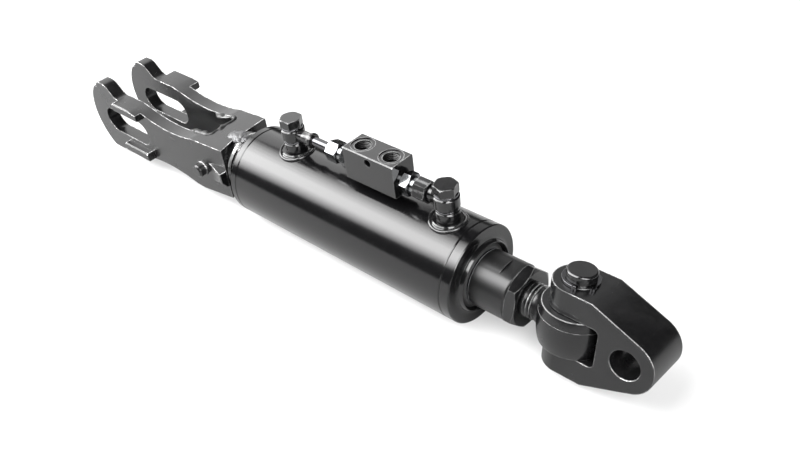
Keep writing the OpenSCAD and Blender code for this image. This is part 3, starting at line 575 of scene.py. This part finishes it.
def roundedCopy(node, name, width):
    bm = bmesh.new()
    bm.from_mesh(nodes[node].data)
    bmesh.ops.remove_doubles(bm, verts=bm.verts, dist=bevelShape["merge"])
    if node == "rod_eye":
        flattenEye(bm)
    if node == "gland_head":
        slopeLip(bm)
    bmesh.ops.dissolve_limit(bm, angle_limit=math.radians(bevelShape["flat"]),
                             use_dissolve_boundaries=False, verts=bm.verts, edges=bm.edges,
                             delimit=set())
    edges = [e for e in bm.edges if len(e.link_faces) == 2
             and e.calc_face_angle(0.0) > math.radians(bevelShape["corner"])]
    bmesh.ops.bevel(bm, geom=edges, offset=width, offset_type="OFFSET", segments=bevelShape["segments"],
                    profile=0.5, affect="EDGES", clamp_overlap=True, material=-1)
    piece = addPiece(bm, name, bodyOf[node], slotOf[node], bevelShape["smooth"], (node,))
    shading = piece.modifiers.new("shading", "WEIGHTED_NORMAL")
    shading.keep_sharp = True
    shading.weight = bevelShape["weight"]


rounding = {
    "fork": 0.0010, "stop_peg": 0.0003, "clevis": 0.0014, "clevis_pin": 0.0004, "lock_nut": 0.0004,
    "valve_block": 0.0004, "front_union_nut": 0.0003, "pipe_nut": 0.0003, "front_check_adapter": 0.0003,
    "rear_banjo_bolt": 0.0004, "front_banjo_bolt": 0.0004, "rod": 0.0004,
    "pin_retaining_rings": 0.0003, "banjo_washers": 0.0002, "rear_banjo": 0.0003, "front_banjo": 0.0003,
    "rear_spacer_collar": 0.0003, "front_spacer_collar": 0.0003, "rear_check_adapter": 0.0003,
    "rod_eye": 0.0008, "gland_head": 0.0003,
}


def dressFrame():
    for node, width in rounding.items():
        words = node.split("_")
        name = words[0] + "".join(w.capitalize() for w in words[1:]) + "Dressed"
        roundedCopy(node, name, width)


dressFrame()
print("edges rounded on", len(rounding), "pieces")


# Weld beads, threads and lugs that the solids leave out

def addLoft(bm, rings, closed):
    # A skin over a row of rings, which ends where it began or has a lid at both ends
    made = [[bm.verts.new(point) for point in ring] for ring in rings]
    count = len(made)
    for i in range(count if closed else count - 1):
        first, second = made[i], made[(i + 1) % count]
        for j in range(len(first)):
            k = (j + 1) % len(first)
            bm.faces.new((first[j], first[k], second[k], second[j]))
    if not closed:
        bm.faces.new(list(reversed(made[0])))
        bm.faces.new(made[-1])
    bmesh.ops.recalc_face_normals(bm, faces=bm.faces)


def ripple(angle, count, skew):
    # The round-backed waves that a weld run leaves
    return abs(math.sin(0.5 * count * angle + skew))


capWeld = {"neck": 0.027, "face": 0.175, "leg": 0.0087, "crest": 0.00035, "rough": 0.0007, "grain": 150.0,
           "ripples": 84, "skew": 1.6, "steps": 840, "profile": 12, "firstTurn": -12, "sweep": 114,
           "buriedRadius": 0.003, "buriedFace": 0.001, "smooth": 50.0}


def buildCapWeld():
    # The fillet weld between the fork's neck and the barrel cap
    bm = bmesh.new()
    rings = []
    for i in range(capWeld["steps"]):
        angle = 2 * math.pi * i / capWeld["steps"]
        spot = Vector((math.cos(angle), math.sin(angle), 0)) * capWeld["neck"]
        lump = capWeld["rough"] * noise.noise(spot * capWeld["grain"])
        ring = []
        for j in range(capWeld["profile"] + 1):
            turn = math.radians(capWeld["firstTurn"] + capWeld["sweep"] * j / capWeld["profile"])
            swell = math.sin(math.pi * j / capWeld["profile"])
            leg = capWeld["leg"] + swell * (
                capWeld["crest"] * ripple(angle, capWeld["ripples"], capWeld["skew"] * turn) + lump)
            radius = capWeld["neck"] + leg * math.sin(turn)
            ring.append((capWeld["face"] - leg * math.cos(turn), radius * math.cos(angle),
                         radius * math.sin(angle)))
        inner = capWeld["neck"] - capWeld["buriedRadius"]
        ring.append((capWeld["face"] + capWeld["buriedFace"], inner * math.cos(angle),
                     inner * math.sin(angle)))
        rings.append(ring)
    addLoft(bm, rings, True)
    addPiece(bm, "capWeldBead", "cylinder", "cast_black", capWeld["smooth"])


bossWeld = {"places": (0.2275, 0.391), "barrel": 0.040, "reach": 0.0137, "bead": 0.0016,
            "crest": 0.00025, "grain": 160.0, "lift": 0.0002, "steps": 260, "sides": 12, "smooth": 50.0}


def buildBossWeld(name, x):
    # A bead that follows the barrel's round surface about the port boss
    bm = bmesh.new()
    rings = []
    for i in range(bossWeld["steps"]):
        angle = 2 * math.pi * i / bossWeld["steps"]
        acrossY = bossWeld["reach"] * math.sin(angle)
        height = math.sqrt(bossWeld["barrel"] ** 2 - acrossY ** 2) + bossWeld["lift"]
        spot = Vector((x + bossWeld["reach"] * math.cos(angle), acrossY, height))
        bead = bossWeld["bead"] + bossWeld["crest"] * noise.noise(spot * bossWeld["grain"])
        ring = []
        for j in range(bossWeld["sides"]):
            turn = 2 * math.pi * j / bossWeld["sides"]
            reach = bossWeld["reach"] + bead * math.cos(turn)
            ring.append((x + reach * math.cos(angle), reach * math.sin(angle),
                         height + bead * math.sin(turn)))
        rings.append(ring)
    addLoft(bm, rings, True)
    addPiece(bm, name, "cylinder", "fitting_black", bossWeld["smooth"])


portThread = {"places": (0.3105, 0.3395), "wall": 0.0066, "depth": 0.00045, "pitch": 0.0015,
              "low": 0.0684, "high": 0.0748, "steps": 40, "fade": 12, "flank": 0.32, "buried": 0.0001,
              "smooth": 25.0}


def buildPortThread(name, x):
    # A wedge that winds up the port's wall and fades out at both ends
    bm = bmesh.new()
    turns = (portThread["high"] - portThread["low"]) / portThread["pitch"]
    total = int(turns * portThread["steps"])
    rings = []
    for i in range(total + 1):
        angle = 2 * math.pi * i / portThread["steps"]
        z = portThread["low"] + portThread["pitch"] * i / portThread["steps"]
        fade = min(1.0, i / portThread["fade"], (total - i) / portThread["fade"])
        section = ((portThread["buried"], -portThread["flank"]), (-portThread["depth"] * fade, 0.0),
                   (portThread["buried"], portThread["flank"]))
        rings.append([(x + (portThread["wall"] + out) * math.cos(angle),
                       (portThread["wall"] + out) * math.sin(angle), z + rise * portThread["pitch"])
                      for out, rise in section])
    addLoft(bm, rings, False)
    addPiece(bm, name, "cylinder", "fitting_black", portThread["smooth"], finish=threadFinish)


ringLug = {"roll": -10.0, "pin": 0.500, "gap": -51.0, "spread": 27.0, "reach": 0.0135, "radius": 0.0023,
           "hole": 0.0009, "sides": 24, "smooth": 35.0}


def buildRingLugs():
    # Eyelets on both ends of each retaining ring, for the pliers
    unroll = Matrix.Rotation(math.radians(-ringLug["roll"]), 4, "X")
    flat = [unroll @ v.co for v in nodes["pin_retaining_rings"].data.vertices]
    spans = []
    for side in (1, -1):
        heights = [p.z for p in flat if p.z * side > 0]
        spans.append((min(heights), max(heights)))
    bm = bmesh.new()
    for low, high in spans:
        for turn in (-ringLug["spread"], ringLug["spread"]):
            angle = math.radians(ringLug["gap"] + turn)
            x = ringLug["pin"] + ringLug["reach"] * math.cos(angle)
            y = ringLug["reach"] * math.sin(angle)
            section = ((ringLug["radius"], low), (ringLug["radius"], high), (ringLug["hole"], high),
                       (ringLug["hole"], low))
            rings = [[(x + radius * math.cos(2 * math.pi * k / ringLug["sides"]),
                       y + radius * math.sin(2 * math.pi * k / ringLug["sides"]), z)
                      for k in range(ringLug["sides"])] for radius, z in section]
            addLoft(bm, rings, True)
    bmesh.ops.rotate(bm, verts=bm.verts, matrix=Matrix.Rotation(math.radians(ringLug["roll"]), 3, "X"))
    addPiece(bm, "ringLugs", bodyOf["pin_retaining_rings"], "plain_steel", ringLug["smooth"])


crownWeld = {"middle": (0.1505, -0.0035, 0.0268), "reach": (0.0105, 0.0085, 0.0030), "grain": 260.0,
             "lump": 0.16, "fractal": (0.6, 2.0, 4), "divisions": 5, "smooth": 60.0}


def buildCrownWeld():
    # The run-out of the weld, on top of the fork's end
    bm = bmesh.new()
    bmesh.ops.create_icosphere(bm, subdivisions=crownWeld["divisions"], radius=1.0)
    middle = Vector(crownWeld["middle"])
    for vert in bm.verts:
        spot = Vector([vert.co[k] * crownWeld["reach"][k] for k in range(3)])
        lump = noise.fractal((middle + spot) * crownWeld["grain"], *crownWeld["fractal"])
        vert.co = middle + spot * (1 + crownWeld["lump"] * lump)
    addPiece(bm, "crownWeld", "cylinder", "cast_black", crownWeld["smooth"], finish=weldFinish)


gapFlash = {"half": 0.017, "root": 0.124, "from": 0.090, "bend": 0.006, "bead": 0.0015, "lump": 1.0,
            "wander": 0.0050, "grain": 150.0, "swingGrain": 90.0, "steps": 260, "sides": 12,
            "sunk": 0.0007, "above": 0.08, "inset": 0.001, "near": 0.0001, "taper": 12, "tip": 0.05,
            "smooth": 50.0}


def gapEdge(share):
    # The closed end of the gap seen from above, as a path from the near plate to the far one
    half, root, bend = gapFlash["half"], gapFlash["root"], gapFlash["bend"]
    straight = root - bend - gapFlash["from"]
    arc = 0.5 * math.pi * bend
    across = half - bend
    way = abs(2 * share - 1) * (straight + arc + across)
    side = -1 if share < 0.5 else 1
    if way < across:
        return root, side * way
    if way < across + arc:
        turn = (way - across) / bend
        return root - bend + bend * math.cos(turn), side * (across + bend * math.sin(turn))
    return root - bend - (way - across - arc), side * half


def buildGapFlash():
    # The casting's wavy flash along the top edge of the fork's gap
    mesh = nodes["fork"].data
    skin = BVHTree.FromPolygons([v.co for v in mesh.vertices], [p.vertices for p in mesh.polygons])
    bm = bmesh.new()
    rings = []
    middle = Vector((gapFlash["root"] - gapFlash["bend"], 0, 0))
    for i in range(gapFlash["steps"] + 1):
        share = i / gapFlash["steps"]
        x, y = gapEdge(share)
        fade = min(1.0, gapFlash["taper"] * share, gapFlash["taper"] * (1 - share)) + gapFlash["tip"]
        straight = abs(y) > gapFlash["half"] - gapFlash["near"]
        outward = Vector((0 if straight else x - middle.x, y, 0)).normalized()
        start = Vector((x, y, gapFlash["above"])) + outward * gapFlash["inset"]
        top = skin.ray_cast(start, Vector((0, 0, -1)))[0].z
        spot = Vector((x, y, top))
        swing = gapFlash["wander"] * fade * noise.noise(spot * gapFlash["swingGrain"])
        lump = gapFlash["lump"] * noise.noise(spot * gapFlash["grain"] + middle)
        bead = gapFlash["bead"] * fade * (1 + lump)
        center = spot - outward * abs(swing) - Vector((0, 0, gapFlash["sunk"]))
        ring = []
        for k in range(gapFlash["sides"]):
            turn = 2 * math.pi * k / gapFlash["sides"]
            ring.append(center + outward * (bead + abs(swing)) * math.cos(turn)
                        + Vector((0, 0, bead * math.sin(turn))))
        rings.append(ring)
    addLoft(bm, rings, False)
    addPiece(bm, "gapFlash", "cylinder", "cast_black", gapFlash["smooth"], finish=flashFinish)


buildCapWeld()
buildCrownWeld()
buildGapFlash()
for place, x in zip(("rear", "front"), bossWeld["places"]):
    buildBossWeld(place + "BossWeld", x)
for place, x in zip(("rear", "front"), portThread["places"]):
    buildPortThread(place + "PortThread", x)
buildRingLugs()
print("welds, threads and lugs added")
